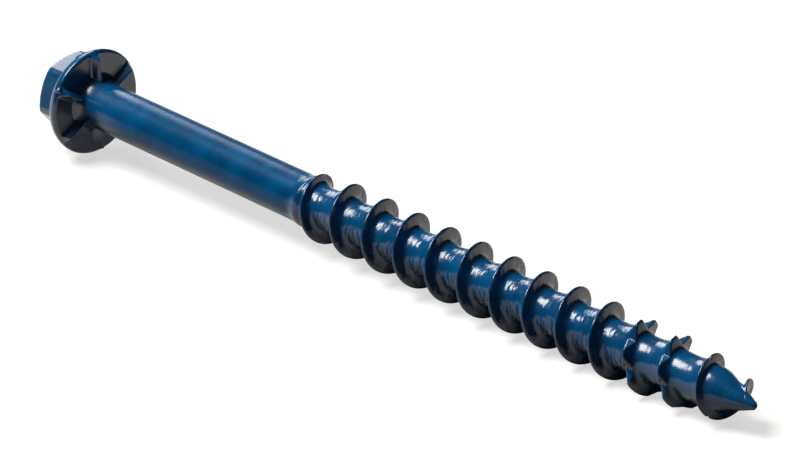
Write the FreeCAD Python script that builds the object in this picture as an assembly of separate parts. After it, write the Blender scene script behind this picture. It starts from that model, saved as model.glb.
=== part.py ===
"""Hex washer head concrete screw: one forged and thread-rolled steel piece, lying at rest.

Millimetres. The screw is drawn along +X, head at -X, with X = 0 at the seat: the plane of the
lands of the ribs under the washer. Angles round the axis run from +Y towards +Z.
The finished solid is then tipped about Y, so the washer's rim and a thread crest near the point
touch one level floor.
"""
import os
import math
import FreeCAD
import Part

Vec = FreeCAD.Vector

# Lengths along the axis, from the seat
lengthUnderHead = 82.55      # seat to point: 3 1/4 in
shankEnd = 27.9              # end of the plain shank
threadStart = 26.9           # crest leaves the shank here, while it is still plain
pointLength = 4.2            # the core tapers over this to the point
bareTip = 1.55               # last of the point, past the thread's end

# Washer flange under the hex
flangeDia = 10.2
flangeThickness = 1.29
rimLand = 0.38               # height of the rim's straight side
rimBevel = 0.16              # broken edge on the underside
flangeTopDia = 9.36          # the upper side slopes in to this at the hex
bumpAngle = 100.3            # small raised spot on the sloping side, as in the photo
bumpSpan = 15.0

# Locking ribs under the washer
ribCount = 6
ribAngle = 31.3
ribHeight = 0.85
ribBaseWidth = 0.94
ribLandWidth = 0.16
ribOuterDia = 9.9            # at the washer's face
ribLandDia = 9.0             # at the lands

# Hex
hexAcrossFlats = 7.0
hexHeight = 2.74
hexCornerAngle = 11.6        # one corner's place round the axis
hexCornerDia = 7.8           # the corners are rolled over to this
hexCrownDia = 6.7            # flat circle on top
hexCrownSlope = 33.0

# Shank and core
shankDia = 4.5
shankFillet = 0.5
coreDia = 3.8
stepBevel = 0.25             # worn edge where the shank ends
stepLength = 1.6             # the shank runs down to the core over this, past shankEnd
pointDia = 0.5
pointBlunt = 0.14            # the very end is broken by a short steep cone

# Thread
threadDia = 6.34
pitch = 3.964
threadAngle = 201.9          # crest's place round the axis at threadStart
crestLand = 0.17
frontWidth = 0.3             # front flank, crest to root
backWidth = 0.5              # steep part of the back flank
backKneeRise = 0.42          # where it meets the long fillet, above the core
backFillet = 1.0             # long run of the back flank into the root
startSink = 0.06             # the crest starts this far under the shank's surface
startTurns = 1.15            # and rises to full height over this
startRidge = 0.24            # but stands this far out of the shank almost at once
ridgeTurns = 0.14            # over this
fadeTurns = 2.3              # it falls towards nothing over these last turns
fadePower = 0.58
fadeOverrun = 0.74           # the fall would reach the core this far past the thread's end
finHeight = 0.46             # share of the height that is kept as a fin up to the blunt end
rootDepth = 0.3              # the thread is rooted this far inside the core
joinAngle = 300.0            # the turns are joined where the crest is here
stepsPerTurn = 8

# Saw notches in two of the last turns, then small nicks
notchedLength = 14.0         # the notched turns start about this far from the point
sawAngle = 6.0               # place of a turn's first notch round the axis
sawStep = 60.0
sawCount = 4                 # even notches in each turn
sawDepth = 0.92              # below the full thread
sawHalfAngle = 22.0
lowNotches = ((270.0, 0.3, 16.0), (306.0, 0.6, 22.0),  # worn ones at the foot of each turn, where the
              (612.0, 0.5, 27.0), (666.0, 0.6, 22.0))  # screw lies: place, depth and half angle
nicks = ((812.0, 0.75, 8.0), (946.0, 0.9, 8.0))        # and small ones after the notched turns
notchedTurns = 2

threadRadius = threadDia / 2
coreRadius = coreDia / 2
coneStart = lengthUnderHead - pointLength
threadStop = lengthUnderHead - bareTip
fadeEnd = threadStop + fadeOverrun
faceX = -ribHeight
hexBase = faceX - flangeThickness
headTop = hexBase - hexHeight
pointRadius = pointDia / 2


def radial(x, radius, angle):
    """Point at a distance from the axis and a place round it, in degrees."""
    turn = math.radians(angle)
    return Vec(x, radius * math.cos(turn), radius * math.sin(turn))


def coreAt(x):
    """Radius of the core, on its cylinder or on the cone of the point."""
    share = (lengthUnderHead - x) / (lengthUnderHead - coneStart)
    return pointRadius + (coreRadius - pointRadius) * max(0.0, min(1.0, share))


def crestAngle(x):
    return threadAngle + 360.0 * (x - threadStart) / pitch


def threadHeight(x):
    """Share of the full thread height at a place along the axis."""
    turns = max(0.0, (x - threadStart) / pitch)
    full = threadRadius - coreRadius
    base = (shankDia / 2 - startSink - coreRadius) / full
    rise = base + (1 - base) * min(1.0, turns / startTurns)
    ridge = base + (startSink + startRidge) / full * min(1.0, turns / ridgeTurns)
    fall = max(0.0, min(1.0, (fadeEnd - x) / (fadeTurns * pitch)))
    return min(max(rise, ridge), max(fall ** fadePower, finHeight))


def crestAt(x):
    core = coreAt(x)
    return core + (threadRadius - core) * threadHeight(x)


def revolved(points):
    """Solid turned about X from (x, radius) points, closed along the axis."""
    wire = Part.makePolygon([Vec(x, r, 0) for x, r in points] + [Vec(points[0][0], points[0][1], 0)])
    return Part.Face(wire).revolve(Vec(0, 0, 0), Vec(1, 0, 0), 360)


def ringEdges(solid, x, radius):
    """Edges of a turned solid that run round the axis at one place."""
    found = []
    for edge in solid.Edges:
        middle = edge.valueAt((edge.FirstParameter + edge.LastParameter) / 2)
        if abs(middle.x - x) < 1e-4 and abs(math.hypot(middle.y, middle.z) - radius) < 1e-4:
            found.append(edge)
    return found


def blank():
    """Washer, under-head fillet, shank, core and point in one turned solid."""
    rim = flangeDia / 2
    shank = shankDia / 2
    section = [(hexBase, 0), (hexBase, flangeTopDia / 2), (faceX - rimLand, rim)]
    section += [(faceX - rimBevel, rim), (faceX, rim - rimBevel), (faceX, shank)]
    section += [(shankEnd, shank), (shankEnd + stepBevel, shank - stepBevel / 3)]
    section += [(shankEnd + stepLength, coreRadius), (coneStart, coreRadius)]
    section += [(lengthUnderHead - pointBlunt, coreAt(lengthUnderHead - pointBlunt))]
    section += [(lengthUnderHead, pointRadius / 2), (lengthUnderHead, 0)]
    solid = revolved(section)
    return solid.makeFillet(shankFillet, ringEdges(solid, faceX, shank))


def hexHead():
    """Hex with rolled corners and a sloped crown."""
    corner = hexAcrossFlats / 2 / math.cos(math.radians(30))
    places = [radial(headTop, corner, hexCornerAngle + 60 * k) for k in range(7)]
    prism = Part.Face(Part.makePolygon(places)).extrude(Vec(hexHeight + flangeThickness / 2, 0, 0))
    crown = hexCrownDia / 2
    outer = hexCornerDia / 2
    drop = (outer - crown) * math.tan(math.radians(hexCrownSlope))
    limit = [(headTop, 0), (headTop, crown), (headTop + drop, outer), (faceX, outer), (faceX, 0)]
    return prism.common(revolved(limit))


def rib(angle):
    """One locking rib: a ridge with sloping sides and a narrow land, ended on a cone."""
    base = ribBaseWidth / 2
    land = ribLandWidth / 2
    sink = faceX - 0.2
    section = [(sink, -base), (faceX, -base), (0, -land), (0, land), (faceX, base), (sink, base)]
    wire = Part.makePolygon([Vec(x, 0, z) for x, z in section + section[:1]])
    bar = Part.Face(wire).extrude(Vec(0, flangeDia / 2, 0))
    bar.rotate(Vec(0, 0, 0), Vec(1, 0, 0), angle)
    wide = ribOuterDia / 2
    narrow = ribLandDia / 2
    limit = [(sink, 0), (sink, wide), (faceX, wide), (0, narrow), (0.1, narrow - 0.05), (0.1, 0)]
    return bar.common(revolved(limit))


def rimBump():
    """Raised spot that fills the sloping side of the washer out towards the rim."""
    rim = flangeDia / 2
    ring = revolved([(hexBase + 0.08, 3.5), (hexBase + 0.08, rim - 0.12), (hexBase + 0.2, rim),
                     (faceX - rimLand / 2, rim), (faceX - rimLand / 2, 3.5)])
    half = bumpSpan / 2
    corners = [Vec(hexBase - 1, 0, 0)]
    corners.append(radial(hexBase - 1, flangeDia, bumpAngle - half))
    corners.append(radial(hexBase - 1, flangeDia, bumpAngle + half))
    corners.append(corners[0])
    wedge = Part.Face(Part.makePolygon(corners)).extrude(Vec(flangeThickness + 2, 0, 0))
    return ring.common(wedge)


def threadSection(x):
    """Thread section at a place on the crest line, as (offset along the axis, radius)."""
    share = threadHeight(x)
    core = coreAt(x)
    height = crestAt(x) - core
    width = max(share, 0.3)
    land = crestLand / 2
    knee = core + min(backKneeRise, 0.45 * height)
    deep = max(core - rootDepth, 0.3 * core)
    back = -land - backWidth * width
    return [(back - backFillet * width, deep), (back, knee), (-land, core + height),
            (land, core + height), (land + frontWidth * width, deep)]


def threadRing(x):
    """Corners of the thread section, in their places round the axis."""
    return [radial(x + offset, radius, crestAngle(x)) for offset, radius in threadSection(x)]


def threadTurn(fromX, toX):
    """Solid of one stretch of thread, about a turn long, its root inside the core."""
    length = toX - fromX
    count = max(3, round(stepsPerTurn * length / pitch))
    places = [step / count for step in range(count + 1)]
    rings = [threadRing(fromX + length * place) for place in places]
    rails = list(zip(*rings))
    nudge = 0.001 * length
    leaving = threadRing(fromX + nudge)
    arriving = threadRing(toX - nudge)
    curves = []
    for rail, early, late in zip(rails, leaving, arriving):
        curve = Part.BSplineCurve()
        curve.interpolate(Points=list(rail), Parameters=places, Scale=False,
                          InitialTangent=(early - rail[0]) * 1000,
                          FinalTangent=(rail[-1] - late) * 1000)
        curves.append(curve)
    faces = []
    for near, far in zip(curves, curves[1:] + curves[:1]):
        poles = [[p, q] for p, q in zip(near.getPoles(), far.getPoles())]
        strip = Part.BSplineSurface()
        strip.buildFromPolesMultsKnots(poles, near.getMultiplicities(), [2, 2], near.getKnots(),
                                       [0.0, 1.0], False, False, near.Degree, 1)
        faces.append(strip.toShape())
    for end in (0, -1):
        ring = rings[end]
        faces.append(Part.Face(Part.makePolygon(ring + ring[:1])))
    shell = Part.makeShell(faces)
    shell.sewShape()
    solid = Part.makeSolid(Part.Shell(shell.Faces))
    if solid.Volume < 0:
        solid.reverse()
    return solid


def threadTurns():
    """The whole thread, turn by turn, joined where the crest is at joinAngle."""
    joins = [threadStart]
    x = threadStart + pitch * ((joinAngle - threadAngle) % 360) / 360
    while x < threadStop - 0.3 * pitch:
        joins.append(x)
        x += pitch
    joins.append(threadStop)
    return [threadTurn(near, far) for near, far in zip(joins, joins[1:])]


def notch(turnAngle, floor, halfAngle):
    """V-shaped cutter at a place on the thread, in degrees past its start."""
    x = threadStart + pitch * (turnAngle - threadAngle) / 360
    half = math.radians(halfAngle)
    spread = threadRadius * math.sin(half) / (threadRadius * math.cos(half) - floor)
    reach = threadRadius * 1.3
    side = (reach - floor) * spread
    angle = math.radians(turnAngle)
    out = Vec(0, math.cos(angle), math.sin(angle))
    along = Vec(0, -math.sin(angle), math.cos(angle))
    back = Vec(x - crestLand / 2 - backWidth - backFillet, 0, 0)
    corners = [back + out * floor, back + out * reach + along * side,
               back + out * reach - along * side]
    width = crestLand + backWidth + backFillet + 2 * frontWidth
    return Part.Face(Part.makePolygon(corners + corners[:1])).extrude(Vec(width, 0, 0))


def notches():
    """Saw notches in the last full turns, and the nicks after them."""
    firstTurn = 360 * math.floor(crestAngle(lengthUnderHead - notchedLength) / 360)
    cutters = []
    for turn in range(notchedTurns):
        for index in range(sawCount):
            angle = firstTurn + 360 * turn + sawAngle + sawStep * index
            cutters.append(notch(angle, threadRadius - sawDepth, sawHalfAngle))
    for place, depth, halfAngle in lowNotches + nicks:
        cutters.append(notch(firstTurn + place, threadRadius - depth, halfAngle))
    return cutters


def restTilt(solid):
    """Tip that brings the rim and the lowest point of the thread down to one floor."""
    rimX = faceX - rimBevel
    points = solid.tessellate(0.01)[0]
    low = [math.atan2(flangeDia / 2 + p.z, p.x - rimX) for p in points if p.x > threadStart]
    return math.degrees(min(low))


screw = blank().fuse([hexHead(), rimBump()])
screw = screw.fuse([rib(ribAngle + 360.0 * index / ribCount) for index in range(ribCount)])
screw = screw.removeSplitter().fuse(threadTurns()).cut(notches())
tilt = restTilt(screw)
screw.rotate(Vec(0, 0, 0), Vec(0, 1, 0), tilt)

os.makedirs("parts", exist_ok=True)
screw.exportStep("parts/screw.step")
print("valid", screw.isValid(), "solids", len(screw.Solids), "volume", round(screw.Volume, 2))
print("tilt", round(tilt, 4), "box", screw.BoundBox)
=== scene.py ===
import bpy
import math
import numpy as np
from mathutils import Matrix, Vector, noise


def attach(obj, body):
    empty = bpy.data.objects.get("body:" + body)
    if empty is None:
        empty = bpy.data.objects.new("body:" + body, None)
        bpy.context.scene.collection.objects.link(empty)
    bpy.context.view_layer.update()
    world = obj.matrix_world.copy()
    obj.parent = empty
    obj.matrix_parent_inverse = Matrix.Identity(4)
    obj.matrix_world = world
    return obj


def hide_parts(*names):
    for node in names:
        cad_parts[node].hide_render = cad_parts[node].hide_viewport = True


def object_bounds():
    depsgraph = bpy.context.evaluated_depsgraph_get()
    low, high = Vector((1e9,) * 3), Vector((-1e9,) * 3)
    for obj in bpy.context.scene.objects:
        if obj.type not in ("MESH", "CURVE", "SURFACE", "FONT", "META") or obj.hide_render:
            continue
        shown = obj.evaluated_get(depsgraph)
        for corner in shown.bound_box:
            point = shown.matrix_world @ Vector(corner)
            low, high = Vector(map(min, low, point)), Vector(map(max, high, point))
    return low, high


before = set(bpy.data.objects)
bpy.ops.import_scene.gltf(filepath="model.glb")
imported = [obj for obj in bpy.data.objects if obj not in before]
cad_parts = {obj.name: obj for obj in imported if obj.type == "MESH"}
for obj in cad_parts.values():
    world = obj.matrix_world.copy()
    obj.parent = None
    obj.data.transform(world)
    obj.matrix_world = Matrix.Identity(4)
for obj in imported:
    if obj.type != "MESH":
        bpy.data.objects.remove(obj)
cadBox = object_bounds()
print("frame loaded")

# the screw is shaped in millimetres along X with its seat plane at X = 0, then scaled and tipped to its rest
place = {"scale": 0.001, "tip": 1.6195}


def colour(code):
    parts = [int(code[i:i + 2], 16) / 255 for i in (1, 3, 5)]
    return [p / 12.92 if p <= 0.04045 else ((p + 0.055) / 1.055) ** 2.4 for p in parts] + [1.0]


def deselect():
    if bpy.context.mode != "OBJECT":
        bpy.ops.object.mode_set(mode="OBJECT")
    bpy.ops.object.select_all(action="DESELECT")


def activate(piece):
    deselect()
    piece.select_set(True)
    bpy.context.view_layer.objects.active = piece


def settle(piece, name):
    # the place goes into the mesh, and the object back to the origin
    piece.name = name
    piece.data.transform(piece.matrix_basis)
    piece.matrix_basis = Matrix.Identity(4)
    return piece


def finishModifier(piece, kind, settings):
    activate(piece)
    modifier = piece.modifiers.new("step", kind)
    for key, value in settings.items():
        setattr(modifier, key, value)
    bpy.ops.object.modifier_apply(modifier="step")


def selectWhere(piece, test):
    # edges whose two ends pass the test are selected, ready in edit mode
    activate(piece)
    bpy.ops.object.mode_set(mode="EDIT")
    bpy.ops.mesh.select_mode(type="EDGE")
    bpy.ops.mesh.select_all(action="DESELECT")
    bpy.ops.object.mode_set(mode="OBJECT")
    points = piece.data.vertices
    for edge in piece.data.edges:
        edge.select = all(test(points[i].co) for i in edge.vertices)
    bpy.ops.object.mode_set(mode="EDIT")


def turned(name, section, steps):
    # a closed section spun round the screw's axis
    deselect()
    bpy.ops.mesh.primitive_circle_add(vertices=len(section), fill_type="NOTHING")
    piece = settle(bpy.context.object, name)
    for vertex, (x, r) in zip(piece.data.vertices, section):
        vertex.co = (x, r, 0)
    bpy.ops.object.mode_set(mode="EDIT")
    bpy.ops.mesh.select_all(action="SELECT")
    bpy.ops.mesh.spin(steps=steps, angle=2 * math.pi, center=(0, 0, 0), axis=(1, 0, 0))
    bpy.ops.mesh.select_all(action="SELECT")
    bpy.ops.mesh.remove_doubles(threshold=0.001)
    bpy.ops.mesh.delete_loose()
    bpy.ops.mesh.select_all(action="SELECT")
    bpy.ops.mesh.normals_make_consistent(inside=False)
    bpy.ops.object.mode_set(mode="OBJECT")
    return piece


shank = {
    "radius": 2.25, "end": 27.9, "coreFrom": 30.9,
    # place past the shank's end and radius: a fine crease, the collar that the rolling pushed up, then the core
    "collar": ((-0.16, 2.25), (-0.05, 2.22), (0.06, 2.26), (0.3, 2.31), (0.6, 2.36), (0.9, 2.41), (1.15, 2.42),
               (1.4, 2.28), (1.75, 2.04), (2.2, 1.9)),
    "rings": (22.0, 16.0, 10.0, 5.0, 2.0, 1.0),
    # the swelling into the washer's face, a quarter ellipse, and how far it goes on inside the head
    "face": -0.85, "filletLong": 1.6, "filletOut": 0.7, "filletSteps": 13, "filletTurn": 7.4, "inside": (0.3, 0.05),
}
thread = {
    "start": 26.9, "pitch": 3.964, "angle": 201.9, "radius": 3.165, "core": 1.9,
    "length": 82.55, "cone": 78.35, "point": 0.25, "stop": 81.0,
    # how the thread rises out of the shank and dies out on the cone, where a fin stays
    "sink": 0.06, "startTurns": 1.15, "startPower": 1.25, "risesFrom": 28.05,
    "fadeEnd": 81.74, "fadeTurns": 2.3, "fadePower": 0.58, "fin": 0.46, "leastWidth": 0.3,
    # the first crests stand a little nearer the head: how much, and where
    "lead": 0.26, "leadFrom": (28.2, 29.4, 31.5, 37.5),
    "steps": 144, "turns": 17, "headCut": 25.8, "tipCut": 82.3,
    "tipRings": ((82.42, 0.22), (82.5, 0.13), (82.53, 0.05)),
    # place along the axis from the crest's middle, and share of the height, across one pitch
    "section": (
        (-3.164, 0.033), (-2.95, 0.014), (-2.7, 0.004), (-2.45, 0.0), (-2.2, 0.004), (-1.95, 0.02), (-1.7, 0.05),
        (-1.45, 0.09), (-1.2, 0.13), (-1.0, 0.165), (-0.82, 0.215), (-0.68, 0.28), (-0.56, 0.38), (-0.44, 0.52),
        (-0.32, 0.68), (-0.2, 0.84), (-0.12, 0.94), (-0.08, 0.99), (-0.04, 1.0), (0.05, 1.0), (0.085, 0.98),
        (0.13, 0.84), (0.18, 0.6), (0.23, 0.385), (0.28, 0.24), (0.34, 0.16), (0.42, 0.11), (0.52, 0.08),
        (0.66, 0.053), (0.8, 0.033),
    ),
    "backFoot": -1.95, "frontFoot": 0.66,
}
notches = {
    # V cuts by a saw across the crest, in degrees round the axis
    "firstTurn": 3960.0, "turns": 2, "count": 4, "angle": 6.0, "step": 60.0,
    "depth": 0.92, "half": 22.0, "reach": 60.0,
    # worn ones at the foot of each turn and nicks after them: place, depth and half angle
    "single": ((270.0, 0.3, 16.0), (306.0, 0.6, 22.0), (612.0, 0.5, 27.0), (666.0, 0.6, 22.0),
               (812.0, 0.75, 9.0), (946.0, 0.9, 9.0)),
}
lumps = {
    # height and width of the lumps of pooled paint and of the unevenness on them
    "root": 0.036, "rootSize": 1.3, "skin": 0.012, "skinSize": 0.6, "skinShift": (9, 3, 5), "across": 1.8,
    "from": 28.5, "fadeIn": 1.5, "until": 70.5, "fadeOut": 2.0,
}


def coreAt(x):
    # radius of the shank, the core and the cone of the point, under the thread
    t, s = thread, shank
    cone = t["point"] + (t["core"] - t["point"]) * np.clip((t["length"] - x) / (t["length"] - t["cone"]), 0, 1)
    places, radii = zip(*s["collar"])
    return np.where(x < s["coreFrom"], np.interp(x - s["end"], places, radii), cone)


def shareAt(x):
    # how much of the full height the thread has where its crest crosses this place
    t = thread
    turns = np.maximum(0, (x - t["start"]) / t["pitch"])
    base = (shank["radius"] - t["sink"] - t["core"]) / (t["radius"] - t["core"])
    rise = base + (1 - base) * np.minimum(1, turns / t["startTurns"]) ** t["startPower"]
    fall = np.clip((t["fadeEnd"] - x) / (t["fadeTurns"] * t["pitch"]), 0, 1)
    share = np.minimum(rise, np.maximum(fall ** t["fadePower"], t["fin"]))
    return share * (x > t["risesFrom"]) * (x < t["stop"])


def notchLimit(turn, centre, floor, half):
    # radius of a V cut's sides at a turn round the axis, in degrees
    away = np.radians(np.minimum(np.abs(turn - centre), notches["reach"]))
    out = thread["radius"] * math.cos(math.radians(half)) - floor
    side = thread["radius"] * math.sin(math.radians(half))
    below = side * np.cos(away) - out * np.sin(away)
    least = 0.02  # under this the cut's side has run out of the thread
    return np.where(below > least, floor * side / np.maximum(below, least), np.inf)


def notchList():
    n = notches
    cuts = []
    for k in range(n["turns"]):
        for index in range(n["count"]):
            cuts.append((n["firstTurn"] + 360 * k + n["angle"] + n["step"] * index, n["depth"], n["half"]))
    for angle, depth, half in n["single"]:
        cuts.append((n["firstTurn"] + angle, depth, half))
    return cuts


def shapeThread(piece):
    # each point of the even sweep moves to the radius that the screw has at its place and turn
    t = thread
    mesh = piece.data
    co = np.empty(len(mesh.vertices) * 3)
    mesh.vertices.foreach_get("co", co)
    co = co.reshape(-1, 3)
    x = co[:, 0]
    around = np.degrees(np.arctan2(co[:, 2], co[:, 1]))
    low, high = t["section"][0][0], t["section"][-1][0]
    turns = np.ceil((x - t["start"] - high - 1e-4) / t["pitch"] - (around - t["angle"]) / 360)
    turn = around + 360 * turns
    crestX = t["start"] + t["pitch"] * (turn - t["angle"]) / 360
    s = x - crestX
    share = shareAt(crestX)
    # a lower crest is narrower too, between its feet
    width = np.maximum(share, t["leastWidth"])
    back, front = t["backFoot"], t["frontFoot"]
    near = np.clip(np.minimum((s - low) / (back - low), (high - s) / (high - front)), 0, 1)
    x = crestX + s * (1 + (width - 1) * near)
    places, heights = zip(*t["section"])
    height = np.interp(s, places, heights)
    crest = coreAt(crestX) + (t["radius"] - coreAt(crestX)) * share
    floor = coreAt(x)
    r = floor + np.maximum(crest - floor, 0) * height
    for centre, depth, half in notchList():
        limit = notchLimit(turn, centre, t["radius"] - depth, half)
        r = np.where(np.abs(turn - centre) < notches["reach"], np.minimum(r, np.maximum(limit, floor)), r)
    # pooled paint: soft lumps in the roots, fading on the crests, at the shank and in the last turns
    angle = np.radians(around)
    spot = np.stack([x, r * np.cos(angle), r * np.sin(angle)], 1)
    fade = np.clip((x - lumps["from"]) / lumps["fadeIn"], 0, 1)
    fade = fade * np.clip((lumps["until"] - x) / lumps["fadeOut"], 0, 1)
    spot[:, 0] *= lumps["across"]
    shift = Vector(lumps["skinShift"])
    rootLump = np.array([noise.noise(Vector(p) / lumps["rootSize"]) for p in spot])
    skinLump = np.array([noise.noise(Vector(p) / lumps["skinSize"] + shift) for p in spot])
    inRoot = np.clip(1 - 3 * height, 0, 1)
    r = r + fade * inRoot * (lumps["root"] * rootLump + lumps["skin"] * skinLump)
    co[:, 0] = x - t["lead"] * np.interp(x, t["leadFrom"], (0, 1, 1, 0))
    co[:, 1] = r * np.cos(angle)
    co[:, 2] = r * np.sin(angle)
    mesh.vertices.foreach_set("co", co.ravel())
    mesh.update()


def makeThread():
    t = thread
    deselect()
    count = len(t["section"])
    bpy.ops.mesh.primitive_circle_add(vertices=count, fill_type="NOTHING")
    piece = settle(bpy.context.object, "coatedScrew")
    # the section stands at angle 0, where the crest line carried back would cross this place
    crossing = t["start"] - t["pitch"] * (1 + t["angle"] / 360)
    for vertex, (s, h) in zip(piece.data.vertices, t["section"]):
        vertex.co = (crossing + s, t["core"] + (t["radius"] - t["core"]) * h, 0)
    # the circle is opened between its last point and its first
    bpy.ops.object.mode_set(mode="EDIT")
    bpy.ops.mesh.select_mode(type="EDGE")
    bpy.ops.mesh.select_all(action="DESELECT")
    bpy.ops.object.mode_set(mode="OBJECT")
    ends = {0, count - 1}
    for edge in piece.data.edges:
        edge.select = set(edge.vertices) == ends
    bpy.ops.object.mode_set(mode="EDIT")
    bpy.ops.mesh.delete(type="EDGE_FACE")
    bpy.ops.object.mode_set(mode="OBJECT")
    finishModifier(piece, "SCREW", {"axis": "X", "angle": 2 * math.pi, "screw_offset": t["pitch"],
                                    "steps": t["steps"], "render_steps": t["steps"], "iterations": t["turns"]})
    print("thread swept:", len(piece.data.vertices), "points")
    bpy.ops.object.mode_set(mode="EDIT")
    bpy.ops.mesh.select_all(action="SELECT")
    bpy.ops.mesh.remove_doubles(threshold=0.002)
    bpy.ops.object.mode_set(mode="OBJECT")
    shapeThread(piece)
    bpy.ops.object.mode_set(mode="EDIT")
    bpy.ops.mesh.select_all(action="SELECT")
    bpy.ops.mesh.bisect(plane_co=(t["headCut"], 0, 0), plane_no=(1, 0, 0), clear_inner=True)
    bpy.ops.mesh.select_all(action="SELECT")
    bpy.ops.mesh.bisect(plane_co=(t["tipCut"], 0, 0), plane_no=(1, 0, 0), clear_outer=True)
    bpy.ops.object.mode_set(mode="OBJECT")
    return piece


def drawOn(piece, fromX, rings):
    # the open end is drawn on, ring by ring, to (place, radius), and closed
    cut = fromX
    radius = float(coreAt(np.array(fromX)))
    selectWhere(piece, lambda p: abs(p.x - cut) < 3e-5)
    for x, r in rings:
        bpy.ops.mesh.extrude_region_move(TRANSFORM_OT_translate={"value": (x - cut, 0, 0)})
        ratio = r / radius
        bpy.ops.transform.resize(value=(1, ratio, ratio), center_override=(0, 0, 0))
        cut, radius = x, r
    bpy.ops.mesh.edge_face_add()
    bpy.ops.object.mode_set(mode="OBJECT")


def makeShank(piece):
    s = shank
    rings = [(x, s["radius"]) for x in s["rings"]]
    for step in range(s["filletSteps"]):
        turn = math.radians(s["filletTurn"] * step)
        x = s["face"] + s["filletLong"] * (1 - math.sin(turn))
        rings.append((x, s["radius"] + s["filletOut"] * (1 - math.cos(turn))))
    deeper, wider = s["inside"]
    rings.append((s["face"] - deeper, s["radius"] + s["filletOut"] + wider))
    drawOn(piece, thread["headCut"], rings)
    drawOn(piece, thread["tipCut"], thread["tipRings"])
    print("shank and point drawn")


head = {
    "steps": 144, "rim": 5.1, "flange": 1.29, "rimLand": 0.38, "rimBevel": 0.16, "topRadius": 4.68,
    # the washer's upper side: place from its top, and radius more than topRadius
    "dome": ((0.0, -0.22), (0.12, 0.0), (0.28, 0.16), (0.5, 0.29), (0.75, 0.38)),
    "hexFlat": 3.5, "hexHeight": 2.74, "hexSink": 0.6, "corner": 11.6,
    "cornerRadius": 3.9, "crown": 3.35, "crownSlope": 33.0,
    "ribs": 6, "ribAngle": 31.3, "ribHeight": 0.85, "ribBase": 0.94, "ribLand": 0.16, "ribSink": 0.2,
    "ribInner": 1.0, "ribOuter": 4.95, "ribLandOuter": 4.5,
    # a raised spot on the rim's side: place from the face and the top, and how far inside the rim it ends
    "spotAngle": 100.3, "spotSpan": 15.0, "spotInner": 3.5, "spotPlace": (0.2, 0.1), "spotReach": (0.05, 0.2),
    # a drop of paint on the rim: place, radius, angle and size
    "bead": (-1.0, 5.09, 150.0, 0.4), "beadFacing": (0.15, -0.584, 0.798), "beadSink": 0.36,
    "voxel": 0.105, "smooth": 3,
}


def makeHead():
    h = head
    face, rim = shank["face"], h["rim"]
    base = face - h["flange"]
    top = base - h["hexHeight"]
    # the upper side swells out to the rim in a soft dome
    dome = [(base + x, h["topRadius"] + out) for x, out in h["dome"]]
    washer = turned("washer", [(base, 0)] + dome + [
        (face - h["rimLand"], rim), (face - h["rimBevel"], rim), (face, rim - h["rimBevel"]), (face, 0)], h["steps"])
    deselect()
    bpy.ops.mesh.primitive_cylinder_add(vertices=6, radius=h["hexFlat"] / math.cos(math.pi / 6),
                                        depth=h["hexHeight"] + h["hexSink"], rotation=(0, math.pi / 2, 0),
                                        location=((top + base + h["hexSink"]) / 2, 0, 0))
    hexPiece = settle(bpy.context.object, "hex")
    corner = max(hexPiece.data.vertices, key=lambda v: v.co.y).co
    now = math.atan2(corner.z, corner.y)
    hexPiece.data.transform(Matrix.Rotation(math.radians(h["corner"]) - now, 4, "X"))
    # the crown slopes round the top, and the corners are worn round
    drop = (h["cornerRadius"] - h["crown"]) * math.tan(math.radians(h["crownSlope"]))
    limit = turned("limit", [(top, 0), (top, h["crown"]), (top + drop, h["cornerRadius"]),
                             (face, h["cornerRadius"]), (face, 0)], h["steps"])
    finishModifier(hexPiece, "BOOLEAN", {"operation": "INTERSECT", "object": limit})
    bpy.data.objects.remove(limit)
    parts = [washer, hexPiece]
    # ribs under the washer, wide at the face and narrow at the land
    for k in range(h["ribs"]):
        deselect()
        bpy.ops.mesh.primitive_cube_add(size=2)
        rib = settle(bpy.context.object, "rib")
        for vertex in rib.data.vertices:
            raised, outer, side = (c > 0 for c in vertex.co)
            half = (h["ribLand"] if raised else h["ribBase"] + h["ribSink"]) / 2
            reach = h["ribLandOuter"] if raised else h["ribOuter"]
            x = face + h["ribHeight"] if raised else face - h["ribSink"]
            vertex.co = (x, reach if outer else h["ribInner"], half if side else -half)
        rib.data.transform(Matrix.Rotation(math.radians(h["ribAngle"] + 360 / h["ribs"] * k), 4, "X"))
        parts.append(rib)
    deselect()
    bpy.ops.mesh.primitive_cube_add(size=2)
    spot = settle(bpy.context.object, "spot")
    underFace, overBase = h["spotPlace"]
    for vertex in spot.data.vertices:
        toPoint, outer, side = (c > 0 for c in vertex.co)
        angle = math.radians(h["spotAngle"] + (h["spotSpan"] if side else -h["spotSpan"]) / 2)
        r = rim - h["spotReach"][0 if toPoint else 1] if outer else h["spotInner"]
        vertex.co = (face - underFace if toPoint else base + overBase, r * math.cos(angle), r * math.sin(angle))
    parts.append(spot)
    # the drop has its flat side to the light
    x, r, angle, size = h["bead"]
    facing = Vector(h["beadFacing"]).normalized()
    deselect()
    bpy.ops.mesh.primitive_cube_add(size=size)
    bead = settle(bpy.context.object, "bead")
    bead.data.transform(facing.to_track_quat("Z", "Y").to_matrix().to_4x4())
    onRim = Vector((x, r * math.cos(math.radians(angle)), r * math.sin(math.radians(angle))))
    bead.data.transform(Matrix.Translation(onRim - facing * size * h["beadSink"]))
    parts.append(bead)
    deselect()
    for part in parts:
        part.select_set(True)
    bpy.context.view_layer.objects.active = washer
    bpy.ops.object.join()
    bpy.ops.object.mode_set(mode="EDIT")
    bpy.ops.mesh.select_all(action="SELECT")
    bpy.ops.mesh.normals_make_consistent(inside=False)
    bpy.ops.object.mode_set(mode="OBJECT")
    # the paint rounds every edge and fills the corners: one skin over all, then eased
    finishModifier(washer, "REMESH", {"mode": "VOXEL", "voxel_size": h["voxel"]})
    finishModifier(washer, "SMOOTH", {"factor": 0.5, "iterations": h["smooth"]})
    print("head skinned:", len(washer.data.polygons), "faces")
    return washer


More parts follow.
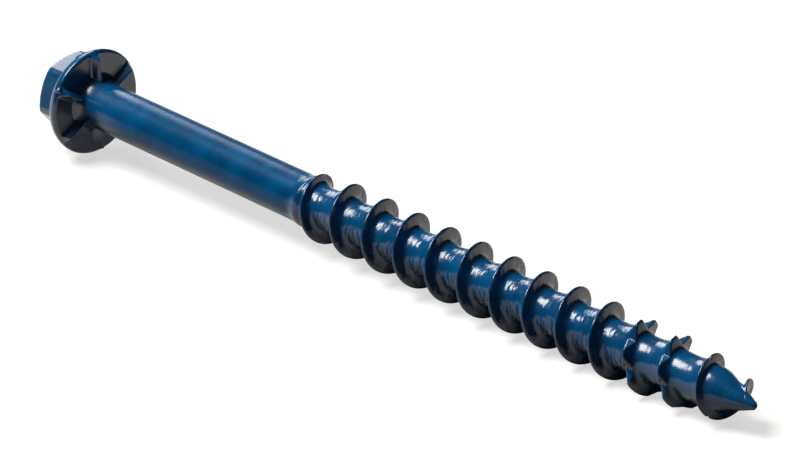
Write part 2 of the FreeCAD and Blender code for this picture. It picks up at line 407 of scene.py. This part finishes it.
screw = makeThread()
makeShank(screw)
headPiece = makeHead()
deselect()
headPiece.select_set(True)
screw.select_set(True)
bpy.context.view_layer.objects.active = screw
bpy.ops.object.join()
screw.data.transform(Matrix.Rotation(math.radians(place["tip"]), 4, "Y") @ Matrix.Scale(place["scale"], 4))
activate(screw)
bpy.ops.object.mode_set(mode="EDIT")
bpy.ops.mesh.select_all(action="SELECT")
bpy.ops.mesh.normals_make_consistent(inside=False)
bpy.ops.object.mode_set(mode="OBJECT")
bpy.ops.object.shade_smooth()
print("screw:", len(screw.data.polygons), "faces", len(screw.data.vertices), "points")


def addNode(tree, kind, settings=None, links=None):
    node = tree.nodes.new(kind)
    for key, value in (settings or {}).items():
        if isinstance(key, str) and hasattr(node, key):
            setattr(node, key, value)
        else:
            node.inputs[key].default_value = value
    for key, source in (links or {}).items():
        tree.links.new(source, node.inputs[key])
    return node


coat = {
    # sizes of the patterns in millimetres; the real grain is finer, and is drawn as coarse as it shows
    "pool": 2.4, "lump": 0.9, "lumpAcross": 2.4, "grain": 0.22,
    "deep": "#00426E", "thin": "#005488", "deepAt": 0.36, "thinAt": 0.66, "sheen": "#8CC4F0", "ior": 1.58,
    # where the paint turns glossy, and where its lumps smooth out, in millimetres along the screw
    "glossyHead": (6.0, 0.5), "glossyThread": (27.4, 28.9), "smoothPoint": (68.0, 70.0),
    # from the grainy shank to the glossy thread and head
    "rough": (0.31, 0.2), "level": (0.16, 0.5), "lumpy": (0.8, 0.25),
    "patchFrom": (0.35, 0.7), "patchTo": (-0.03, 0.05),
    "grainBump": (0.22, 0.00003), "lumpBump": 0.0001,
}


def coating():
    # dipped and baked fluoropolymer paint over steel: deep blue, grainy on the drawn shank,
    # glossy and lumpy where it pooled between the turns and round the head
    c = coat
    material = bpy.data.materials.new("baked blue corrosion coating")
    material.use_nodes = True
    tree = material.node_tree
    tree.nodes.clear()
    spot = addNode(tree, "ShaderNodeTexCoord").outputs["Object"]
    along = addNode(tree, "ShaderNodeSeparateXYZ", None, {"Vector": spot}).outputs["X"]
    threadFrom, threadTo, pointFrom, pointTo, headFrom, headTo = (
        x * place["scale"] for x in c["glossyThread"] + c["smoothPoint"] + c["glossyHead"])
    onThread = addNode(tree, "ShaderNodeMapRange", {"From Min": threadFrom, "From Max": threadTo}, {"Value": along})
    onPoint = addNode(tree, "ShaderNodeMapRange", {"From Min": pointFrom, "From Max": pointTo,
                                                   "To Min": c["lumpy"][0], "To Max": c["lumpy"][1]},
                      {"Value": along})
    lumpy = addNode(tree, "ShaderNodeMath", {"operation": "MULTIPLY"},
                    {0: onThread.outputs[0], 1: onPoint.outputs[0]})
    onHead = addNode(tree, "ShaderNodeMapRange", {"From Min": headFrom, "From Max": headTo}, {"Value": along})
    glossy = addNode(tree, "ShaderNodeMath", {"operation": "MAXIMUM"},
                     {0: onThread.outputs[0], 1: onHead.outputs[0]})
    # slow changes of the paint's thickness
    pool = addNode(tree, "ShaderNodeTexNoise", {"Scale": 1000 / c["pool"], "Detail": 3.0, "Roughness": 0.55},
                   {"Vector": spot})
    tone = addNode(tree, "ShaderNodeValToRGB", None, {"Fac": pool.outputs["Fac"]})
    for mark, code, at in zip(tone.color_ramp.elements, (c["deep"], c["thin"]), (c["deepAt"], c["thinAt"])):
        mark.position = at
        mark.color = colour(code)
    # the runs between the turns are drawn out round the screw
    drawn = addNode(tree, "ShaderNodeVectorMath", {"operation": "MULTIPLY", 1: (c["lumpAcross"], 1, 1)}, {0: spot})
    lump = addNode(tree, "ShaderNodeTexNoise", {"Scale": 1000 / c["lump"], "Detail": 1.5, "Roughness": 0.5},
                   {"Vector": drawn.outputs["Vector"]})
    grain = addNode(tree, "ShaderNodeTexNoise", {"Scale": 1000 / c["grain"], "Detail": 2.0, "Roughness": 0.6},
                    {"Vector": spot})
    smooth = addNode(tree, "ShaderNodeMapRange", {"To Min": c["rough"][0], "To Max": c["rough"][1]},
                     {"Value": glossy.outputs[0]})
    patchy = addNode(tree, "ShaderNodeMapRange", {"From Min": c["patchFrom"][0], "From Max": c["patchFrom"][1],
                                                  "To Min": c["patchTo"][0], "To Max": c["patchTo"][1]},
                     {"Value": grain.outputs["Fac"]})
    rough = addNode(tree, "ShaderNodeMath", {"operation": "ADD"}, {0: smooth.outputs[0], 1: patchy.outputs[0]})
    level = addNode(tree, "ShaderNodeMapRange", {"To Min": c["level"][0], "To Max": c["level"][1]},
                    {"Value": glossy.outputs[0]})
    # the grainy paint's sheen is bluish, the pooled paint's gloss is white
    sheen = addNode(tree, "ShaderNodeValToRGB", None, {"Fac": glossy.outputs[0]})
    sheen.color_ramp.elements[0].color = colour(c["sheen"])
    sheen.color_ramp.elements[1].color = (1, 1, 1, 1)
    strength, distance = c["grainBump"]
    fine = addNode(tree, "ShaderNodeBump", {"Strength": strength, "Distance": distance},
                   {"Height": grain.outputs["Fac"]})
    soft = addNode(tree, "ShaderNodeBump", {"Distance": c["lumpBump"]},
                   {"Height": lump.outputs["Fac"], "Normal": fine.outputs["Normal"], "Strength": lumpy.outputs[0]})
    shader = addNode(tree, "ShaderNodeBsdfPrincipled", {"Metallic": 0.0, "IOR": c["ior"]},
                     {"Base Color": tone.outputs["Color"], "Roughness": rough.outputs[0],
                      "Specular Tint": sheen.outputs["Color"], "Specular IOR Level": level.outputs[0],
                      "Normal": soft.outputs["Normal"]})
    addNode(tree, "ShaderNodeOutputMaterial", None, {"Surface": shader.outputs["BSDF"]})
    return material


screw.data.materials.clear()
screw.data.materials.append(coating())
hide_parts("screw")
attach(screw, "root")
print("screw coated")

camera = {
    # focal length in pixels, angles in degrees, distance and target in millimetres
    "focal": 4950.0, "azimuth": 46.581, "elevation": 24.632, "roll": -0.826, "distance": 434.18,
    "target": (40.319, -0.201, -0.075), "frame": (800, 466), "sensor": 36, "nearest": 0.01,
}


def makeCamera():
    c = camera
    az, el, roll = (math.radians(c[k]) for k in ("azimuth", "elevation", "roll"))
    back = Vector((math.sin(az) * math.cos(el), -math.cos(az) * math.cos(el), math.sin(el)))
    side = Vector((0, 0, 1)).cross(back).normalized()
    up = back.cross(side)
    right = math.cos(roll) * side + math.sin(roll) * up
    top = -math.sin(roll) * side + math.cos(roll) * up
    data = bpy.data.cameras.new("photoCamera")
    data.sensor_width = c["sensor"]
    data.lens = c["focal"] / c["frame"][0] * data.sensor_width
    data.clip_start = c["nearest"]
    seen = bpy.data.objects.new("photoCamera", data)
    bpy.context.scene.collection.objects.link(seen)
    at = (Vector(c["target"]) + back * c["distance"]) * place["scale"]
    seen.matrix_world = Matrix.Translation(at) @ Matrix((right, top, back)).transposed().to_4x4()
    bpy.context.scene.camera = seen


stage = {
    "middle": 0.04, "floorSize": 4, "paper": "#BCBAB8", "glow": 0.62, "shade": "#2E2E2E", "room": 0.03,
    # the paper as the screw mirrors it, with a painted reflection: a pale glow by the head and painted shade beyond
    # the point; places in metres from the middle
    "mirrored": "#E4E0DA", "paintedGlowNearHead": 0.5, "paleFrom": (-0.008, -0.016),
    "paintedShadeBeyondPoint": 0.12, "darkFrom": (0.03, 0.075),
    # soft boxes: direction, width along the screw, width across it, power
    "lamps": (
        ("keyBox", (-0.37, -0.30, 0.86), 0.41, 0.475, 7.8),
        ("backBox", (-0.77, 0.43, 0.47), 0.25, 0.34, 1.4),
    ),
    "distance": 0.8, "lampColour": "#FFFDF8",
}


def makeFloor():
    # white studio paper: white to the camera with a soft shadow, lit in reflections with a painted pale glow by the
    # head and painted shade beyond the point, and with little light thrown back on the screw
    deselect()
    bpy.ops.mesh.primitive_plane_add(size=stage["floorSize"], location=(stage["middle"], 0, cadBox[0][2]))
    floor = bpy.context.object
    floor.name = "floor"
    material = bpy.data.materials.new("white studio paper")
    material.use_nodes = True
    tree = material.node_tree
    tree.nodes.clear()
    path = addNode(tree, "ShaderNodeLightPath")
    shade = addNode(tree, "ShaderNodeBsdfDiffuse", {"Color": colour(stage["shade"])})
    # painted reflection: the paper by the head and the shank glows pale in the screw's reflections even where the
    # shadow falls
    spot = addNode(tree, "ShaderNodeTexCoord").outputs["Object"]
    along = addNode(tree, "ShaderNodeSeparateXYZ", None, {"Vector": spot}).outputs["X"]
    near = addNode(tree, "ShaderNodeMapRange", {"From Min": stage["paleFrom"][0], "From Max": stage["paleFrom"][1],
                                                "To Max": stage["paintedGlowNearHead"]}, {"Value": along})
    # painted shade in reflections: the paper beyond the point darkens, so the last turns' flanks do
    far = addNode(tree, "ShaderNodeMapRange", {"From Min": stage["darkFrom"][0], "From Max": stage["darkFrom"][1],
                                               "To Min": 1.0, "To Max": stage["paintedShadeBeyondPoint"]}, {"Value": along})
    tint = addNode(tree, "ShaderNodeVectorMath", {"operation": "SCALE", "Vector": colour(stage["mirrored"])[:3]},
                   {"Scale": far.outputs[0]})
    lit = addNode(tree, "ShaderNodeBsdfDiffuse", None, {"Color": tint.outputs["Vector"]})
    # the painted pale glow of the paper by the head, seen only in the screw's reflections
    pale = addNode(tree, "ShaderNodeEmission", {"Color": colour(stage["mirrored"])}, {"Strength": near.outputs[0]})
    mirrored = addNode(tree, "ShaderNodeAddShader", None, {0: lit.outputs[0], 1: pale.outputs[0]})
    paper = addNode(tree, "ShaderNodeBsdfDiffuse", {"Color": colour(stage["paper"])})
    glow = addNode(tree, "ShaderNodeEmission", {"Strength": stage["glow"]})
    white = addNode(tree, "ShaderNodeAddShader", None, {0: paper.outputs[0], 1: glow.outputs[0]})
    other = addNode(tree, "ShaderNodeMixShader", None, {
        0: path.outputs["Is Glossy Ray"], 1: shade.outputs[0], 2: mirrored.outputs[0]})
    pick = addNode(tree, "ShaderNodeMixShader", None, {
        0: path.outputs["Is Camera Ray"], 1: other.outputs[0], 2: white.outputs[0]})
    addNode(tree, "ShaderNodeOutputMaterial", None, {"Surface": pick.outputs[0]})
    floor.data.materials.append(material)


def makeRoom():
    # a white room to the camera, and a dim one for the screw
    world = bpy.data.worlds.new("studio")
    bpy.context.scene.world = world
    world.use_nodes = True
    tree = world.node_tree
    tree.nodes.clear()
    path = addNode(tree, "ShaderNodeLightPath")
    room = addNode(tree, "ShaderNodeBackground", {"Strength": stage["room"]})
    white = addNode(tree, "ShaderNodeBackground", {"Strength": 1.0})
    for node in (room, white):
        node.inputs["Color"].default_value = (1, 1, 1, 1)
    pick = addNode(tree, "ShaderNodeMixShader", None, {
        0: path.outputs["Is Camera Ray"], 1: room.outputs[0], 2: white.outputs[0]})
    addNode(tree, "ShaderNodeOutputWorld", None, {"Surface": pick.outputs[0]})


def softBox(name, direction, along, across, power):
    data = bpy.data.lights.new(name, "AREA")
    data.shape = "ELLIPSE"
    data.size = along
    data.size_y = across
    data.energy = power
    data.color = colour(stage["lampColour"])[:3]
    lamp = bpy.data.objects.new(name, data)
    bpy.context.scene.collection.objects.link(lamp)
    way = Vector(direction).normalized()
    side = (Vector((1, 0, 0)) - way * way.x).normalized()
    turn = Matrix((side, way.cross(side), way)).transposed().to_4x4()
    at = Vector((stage["middle"], 0, 0)) + way * stage["distance"]
    lamp.matrix_world = Matrix.Translation(at) @ turn


makeCamera()
makeFloor()
makeRoom()
for lamp in stage["lamps"]:
    softBox(*lamp)
bpy.context.scene.view_settings.view_transform = "Standard"
print("stage set")
